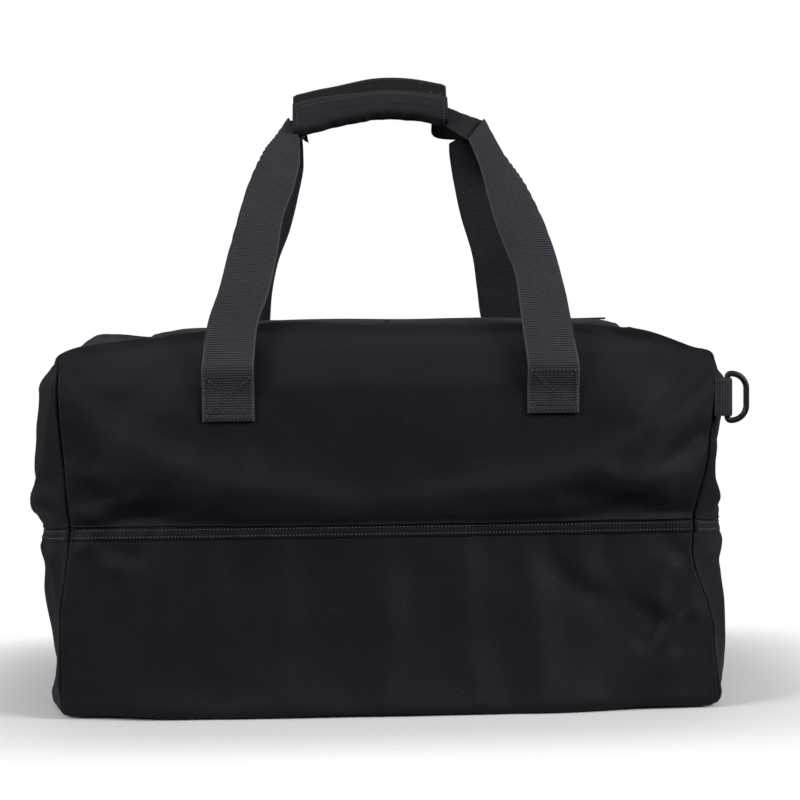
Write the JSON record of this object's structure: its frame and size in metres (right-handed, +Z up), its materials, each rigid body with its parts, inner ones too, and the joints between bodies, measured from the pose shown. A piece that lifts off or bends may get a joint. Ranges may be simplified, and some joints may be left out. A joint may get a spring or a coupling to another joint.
{
  "type": "weekender bag",
  "caption": "Soft rectangular weekender bag in dark nylon with a zipped top, two webbing handles joined by a padded hand wrap, and D-rings on two corner seams",
  "frame": {"origin": "Middle of the base, on the surface the bag stands on.", "axes": "+X runs along the bag, to the right as the front is seen; the front faces -Y; +Z is up."},
  "size_m": [0.544, 0.258, 0.4753],
  "materials": {
    "body_nylon": "dark blue-black padded nylon twill",
    "webbing": "charcoal basket-weave nylon webbing",
    "grip_cloth": "soft dark padded cloth",
    "touch_tape": "black hook-and-loop tape",
    "lining_cloth": "thin grey lining cloth",
    "zip_tape": "black woven zip tape",
    "zip_teeth": "black moulded teeth",
    "black_metal": "satin black coated metal",
    "base_board": "plain stiffening board"
  },
  "bodies": {
    "bag_body": {"bottom_panel": "body_nylon", "base_board": "base_board", "front_lower_panel": "body_nylon", "back_lower_panel": "body_nylon", "left_lower_end": "body_nylon", "right_lower_end": "body_nylon", "front_upper_panel": "body_nylon", "back_upper_panel": "body_nylon", "left_upper_end": "body_nylon", "right_upper_end": "body_nylon", "front_waist_band": "body_nylon", "back_waist_band": "body_nylon", "left_waist_band": "body_nylon", "right_waist_band": "body_nylon", "lining": "lining_cloth", "left_top_end": "body_nylon", "right_top_end": "body_nylon", "left_zip_tapes": "zip_tape", "right_zip_tapes": "zip_tape", "left_zip_teeth": "zip_teeth", "right_zip_teeth": "zip_teeth", "left_zip_stop": "body_nylon", "right_zip_stop": "body_nylon", "front_left_anchor": "webbing", "front_right_anchor": "webbing", "back_left_anchor": "webbing", "back_right_anchor": "webbing", "front_ring_tab": "webbing", "back_ring_tab": "webbing"},
    "front_mouth": {"front_mouth_flap": "body_nylon", "front_zip_tape": "zip_tape", "front_zip_teeth": "zip_teeth"},
    "back_mouth": {"back_mouth_flap": "body_nylon", "back_zip_tape": "zip_tape", "back_zip_teeth": "zip_teeth"},
    "slider": {"zip_slider": "black_metal"},
    "pull": {"zip_pull": "black_metal"},
    "front_carry": {"front_handle": "webbing", "grip_wrap": "grip_cloth", "grip_loop_strip": "touch_tape"},
    "grip_closer": {"grip_flap": "grip_cloth", "grip_hook_strip": "touch_tape"},
    "back_carry": {"back_handle": "webbing"},
    "front_d_ring": {"front_ring": "black_metal"},
    "back_d_ring": {"back_ring": "black_metal"}
  },
  "joints": [
    {"name": "front_mouth_open", "type": "hinge", "parent": "bag_body", "child": "front_mouth", "pos_m": [0, -0.0825, 0.286], "axis": [0.9999, 0, 0.0143], "range_deg": [0, 60]},
    {"name": "back_mouth_open", "type": "hinge", "parent": "bag_body", "child": "back_mouth", "pos_m": [0, 0.0825, 0.286], "axis": [-0.9999, 0, -0.0143], "range_deg": [0, 60]},
    {"name": "zip_travel", "type": "slide", "parent": "bag_body", "child": "slider", "axis": [-0.9999, 0, -0.0143], "range_m": [0, 0.288]},
    {"name": "pull_swing", "type": "hinge", "parent": "slider", "child": "pull", "pos_m": [0.14396, 0, 0.29006], "axis": [0, -1, 0], "range_deg": [0, 170]},
    {"name": "front_handle_fold", "type": "hinge", "parent": "bag_body", "child": "front_carry", "pos_m": [0, -0.1278, 0.257], "axis": [1, 0, 0], "range_deg": [0, 175]},
    {"name": "back_handle_fold", "type": "hinge", "parent": "bag_body", "child": "back_carry", "pos_m": [0, 0.1278, 0.257], "axis": [-1, 0, 0], "range_deg": [0, 175]},
    {"name": "grip_flap_close", "type": "hinge", "parent": "front_carry", "child": "grip_closer", "pos_m": [0, -0.00689, 0.46231], "axis": [1, 0, 0], "range_deg": [0, 90]},
    {"name": "front_ring_swing", "type": "hinge", "parent": "bag_body", "child": "front_d_ring", "pos_m": [0.2495, -0.121, 0.232], "axis": [0, 0, 1], "range_deg": [-75, 75]},
    {"name": "back_ring_swing", "type": "hinge", "parent": "bag_body", "child": "back_d_ring", "pos_m": [-0.2495, 0.121, 0.232], "axis": [0, 0, 1], "range_deg": [-75, 75]}
  ],
  "couplings": [
    {"joint": "back_mouth_open", "follows": "front_mouth_open", "ratio": 1}
  ]
}
